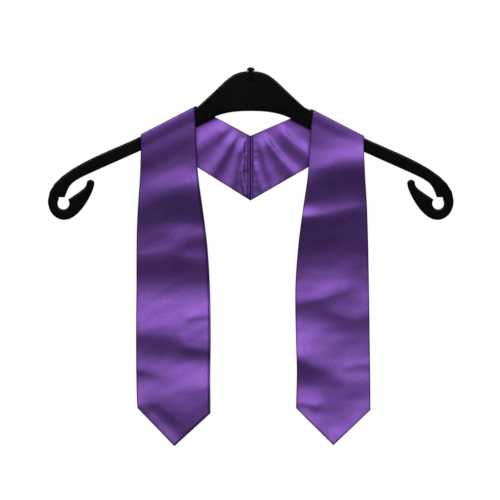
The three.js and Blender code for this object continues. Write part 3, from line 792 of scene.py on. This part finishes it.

# %% [markdown]
# Satin is woven so that long threads float on top, side by side down the strip. They act as tiny
# mirrors that all bend one way, so satin is dark where it faces the eye and bright where it leans
# towards the light. A purple reflection most of the way to a metal's gives that, with a little
# unevenness from thread to thread: streaks that are fine across the strip and long down it.
#
# The colour isn't even either. Thick places in the yarn, called slubs, and the weft that crosses
# below show as short flecks in it, and the dye is a little cloudy. Along the edge, shade is painted
# into the colour, as for a rolled edge that turns from the light.

# %% Satin
SATIN_DEEP = (0.138, 0.055, 0.295, 1)
SATIN_LIGHT = (0.190, 0.077, 0.380, 1)
# the colour of the painted shade along the cloth's edge
SATIN_PAINTED_SHADE = (0.045, 0.016, 0.105, 1)
THREAD = 0.25 * MM
STREAK_GRAIN = (2200, 70, 1)  # clouds to a metre across the strip, along it and through it
CLOUD_GRAIN = (45, 30, 1)
SLUB_GRAIN = (650, 220, 1)
WEFT_GRAIN = (90, 800, 1)
CLOUD_SHARE, SLUB_SHARE, WEFT_SHARE = 0.3, 1.9, 0.9
SHARE_CENTRE = 1.05  # is taken off, so that the colours are mixed half and half on average
PAINTED_SHADE_SHARE = 0.8
STREAK_HEIGHT, THREAD_HEIGHT = 0.7, 0.15
SATIN_BUMP = {"Distance": 0.05 * MM, "Strength": 0.35}


def satin(name):
    """Satin on the ply's own map, which is in metres across the strip and along it."""
    finish = Finish(name)
    cloth = finish.node("ShaderNodeUVMap", {"uv_map": "cloth"}, {})
    across = finish.node("ShaderNodeSeparateXYZ", {}, {0: cloth})
    streaks = finish.noise(cloth, STREAK_GRAIN)
    clouds = finish.noise(cloth, CLOUD_GRAIN, detail=3.0)
    threads = across.math("SINE", across * (2 * math.pi / THREAD))
    slubs = finish.noise(cloth, SLUB_GRAIN, detail=3.0)
    weft = finish.noise(cloth, WEFT_GRAIN)
    hem = finish.node("ShaderNodeAttribute", {"attribute_name": "hem"}, {}, output="Fac")
    share = clouds * CLOUD_SHARE + slubs * SLUB_SHARE + weft * WEFT_SHARE - SHARE_CENTRE
    woven = finish.blend(share, SATIN_DEEP, SATIN_LIGHT)
    bump = {"Height": streaks * STREAK_HEIGHT + threads * THREAD_HEIGHT, **SATIN_BUMP}
    return finish.surface(
        # painted shade along the edge darkens the woven colour
        Base_Color=finish.blend(hem * PAINTED_SHADE_SHARE, woven, SATIN_PAINTED_SHADE),
        Metallic=0.8,
        Roughness=0.36 + 0.08 * streaks + 0.04 * clouds,
        Normal=finish.node("ShaderNodeBump", {}, bump),
        Sheen_Weight=0.03,
        Sheen_Roughness=0.4,
    )


face_satin = satin("face_satin")
lining_satin = satin("lining_satin")
for node, piece in plies.items():
    piece.data.materials.append(face_satin if node.endswith("face") else lining_satin)
print("nodes in the satin:", len(face_satin.node_tree.nodes))

# %% [markdown]
# The hanger is black plastic from a mould, which was grained so that the arms don't show scratches.
# The two halves of the mould meet half way round the edge, and leave a fine raised line there.

# %% Moulded plastic
PARTING_LINE = 0.12 * MM
PLASTIC_DEEP = (0.0025, 0.0025, 0.0027, 1)
PLASTIC_WORN = (0.004, 0.004, 0.0043, 1)  # where hands and hooks have rubbed it
PLASTIC_GRAIN = (2600, 2600, 2600)
WEAR_GRAIN = (28, 28, 28)
PLASTIC_BUMP = {"Distance": 0.04 * MM, "Strength": 0.5}


def moulded(name):
    """Plastic with a fine grain, faint wear and a raised line half way through its thickness."""
    finish = Finish(name)
    place = finish.node("ShaderNodeTexCoord", {}, {}, output="Object")
    grain = finish.noise(place, PLASTIC_GRAIN, detail=3.0)
    handled = finish.noise(place, WEAR_GRAIN, detail=4.0)
    depth = finish.node("ShaderNodeSeparateXYZ", {}, {0: place}, output="Y")
    from_line = abs(depth - HANGER_MIDDLE * MM)
    line = finish.spread(from_line, end=PARTING_LINE, first=1.0, last=0.0)
    bump = {"Height": grain * 0.5 + line, **PLASTIC_BUMP}
    return finish.surface(
        Base_Color=finish.blend(handled, PLASTIC_DEEP, PLASTIC_WORN),
        Roughness=0.2 + 0.1 * handled + 0.04 * grain,
        Normal=finish.node("ShaderNodeBump", {}, bump),
        Specular_IOR_Level=0.12,
    )


plastic = moulded("hanger_plastic")
for piece in hard.values():
    piece.data.materials.append(plastic)
print("nodes in the plastic:", len(plastic.node_tree.nodes))

# %% [markdown]
# The studio is plain. A pale floor lies well below the hanger, and it gives off some light of its
# own, so that it runs into the white behind it without an edge. The cloth doesn't mirror it.

# %% Floor
FLOOR_UP = -0.9
FLOOR_TONES = ((0.86, 0.86, 0.86, 1), (0.9, 0.9, 0.9, 1))
FLOOR_CLOUDS = (3, 3, 3)


def pale_floor(reach=6.0, rings=9, spokes=48):
    """A disc of rings in polar coordinates."""
    angles = np.arange(spokes) * 2 * math.pi / spokes
    radius, angle = np.meshgrid(np.linspace(0, reach, rings)[1:], angles)
    disc = [radius * np.cos(angle), radius * np.sin(angle), np.full_like(radius, FLOOR_UP)]
    points = np.concatenate([[[0, 0, FLOOR_UP]], np.stack(disc, -1).reshape(-1, 3)])
    number = 1 + np.arange(spokes * (rings - 1)).reshape(spokes, rings - 1)
    after = np.roll(number, -1, axis=0)
    inner = np.stack([np.zeros(spokes, int), number[:, 0], after[:, 0]], -1).tolist()
    outer = np.stack([number[:, :-1], number[:, 1:], after[:, 1:], after[:, :-1]], -1)
    mesh = bpy.data.meshes.new("floor")
    mesh.from_pydata(points.tolist(), [], inner + outer.reshape(-1, 4).tolist())
    floor = bpy.data.objects.new("floor", mesh)
    bpy.context.scene.collection.objects.link(floor)
    return floor


floor = pale_floor()
paint = Finish("floor_paint")
speckle = paint.noise(paint.node("ShaderNodeTexCoord", {}, {}, output="Object"), FLOOR_CLOUDS)
tone = paint.blend(speckle, *FLOOR_TONES)
floor.data.materials.append(
    paint.surface(Base_Color=tone, Roughness=0.8, Emission_Color=tone, Emission_Strength=0.8)
)
floor.visible_diffuse = floor.visible_glossy = False
print("floor at", FLOOR_UP, "m")

# %% [markdown]
# The light is a wide soft box far above and in front, another like it behind, and a faint one from
# below. Satin needs the light from above, because its folds only show when their upper slopes
# mirror something brighter than their lower ones.

# %% Lamps
AIM = (0.0, 0.0, -0.2)
LAMPS = [
    dict(name="above", place=(-0.5, -5.3, 2.9), size=(7.0, 2.0), power=275),
    dict(name="behind", place=(0.5, 5.3, 2.9), size=(7.0, 2.0), power=300),
    dict(name="below", place=(0.0, -0.5, FLOOR_UP + 0.05), size=(2.0, 0.6), power=0.5),
]


def soft_box(name, place, size, power):
    """A rectangle of light that faces the middle of the stole."""
    data = bpy.data.lights.new(name, "AREA")
    data.shape = "RECTANGLE"
    data.size, data.size_y = size
    data.energy = power
    light = bpy.data.objects.new(name, data)
    light.location = place
    towards = Vector(AIM) - Vector(place)
    light.rotation_euler = towards.to_track_quat("-Z", "Y").to_euler()
    light.visible_camera = False
    bpy.context.scene.collection.objects.link(light)


for lamp in LAMPS:
    soft_box(**lamp)
print("lamps and their power, W:", {lamp["name"]: lamp["power"] for lamp in LAMPS})

# %% [markdown]
# The camera sees a white surround, but the cloth has to mirror a dark one, or its folds go flat. So
# the surround is nearly black in front and above, and grey behind and below, which keeps the
# turned edges and the undersides from going dead.

# %% Surround
BEHIND_AND_BELOW = (0, 1, -1)
AMBIENT = 0.02  # strength of the surround in front and above
BEHIND = 0.25  # and behind and below
CHANGE_FROM, CHANGE_TO = -0.2, 0.7  # where it turns from one to the other


def surround():
    """A world that is white to the camera. To any other ray it is as strong as the ray's direction says.

    The dot product of the direction with BEHIND_AND_BELOW spreads the strength from AMBIENT to BEHIND.
    """
    world = bpy.data.worlds.new("surround")
    nodes = Nodes(world)
    direction = nodes.node("ShaderNodeTexCoord", {}, {}, output="Generated")
    factors = {0: direction, 1: BEHIND_AND_BELOW}
    side = nodes.node("ShaderNodeVectorMath", {"operation": "DOT_PRODUCT"}, factors, output="Value")
    lit = nodes.spread(side, start=CHANGE_FROM, end=CHANGE_TO, first=AMBIENT, last=BEHIND)
    seen = nodes.node("ShaderNodeLightPath", {}, {}, output="Is Camera Ray")
    background = nodes.tree.nodes["Background"]
    nodes.feed(background.inputs["Color"], (1, 1, 1, 1))
    nodes.feed(background.inputs["Strength"], nodes.spread(seen, first=lit))
    return world


bpy.context.scene.world = surround()
bpy.context.scene.view_settings.view_transform = "Standard"
print("strength of the surround:", AMBIENT, "to", BEHIND)

# %% [markdown]
# The camera looks at the hanger straight from the front, from far away through a long lens, as the
# photo was taken: the two arms look alike and nothing of their tops shows.

# %% Camera
LENS, SENSOR = 200.0, 36.0
VIEW_WIDTH = 0.532  # m across the picture, at the stole
VIEW_MIDDLE = (-0.00085, -0.1947)  # m across and up
camera_data = bpy.data.cameras.new("camera")
camera_data.lens, camera_data.sensor_width = LENS, SENSOR
camera = bpy.data.objects.new("camera", camera_data)
camera.location = (VIEW_MIDDLE[0], -VIEW_WIDTH * LENS / SENSOR, VIEW_MIDDLE[1])
camera.rotation_euler = (math.radians(90), 0, 0)
bpy.context.scene.collection.objects.link(camera)
bpy.context.scene.camera = camera
print("camera at", tuple(round(x, 4) for x in camera.location))

# %% [markdown]
# Last, each piece hides the node that it stands for, and moves with the root body.

# %% What each piece is
for node, piece in {**plies, **hard}.items():
    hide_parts(node)
    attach(piece, "root")
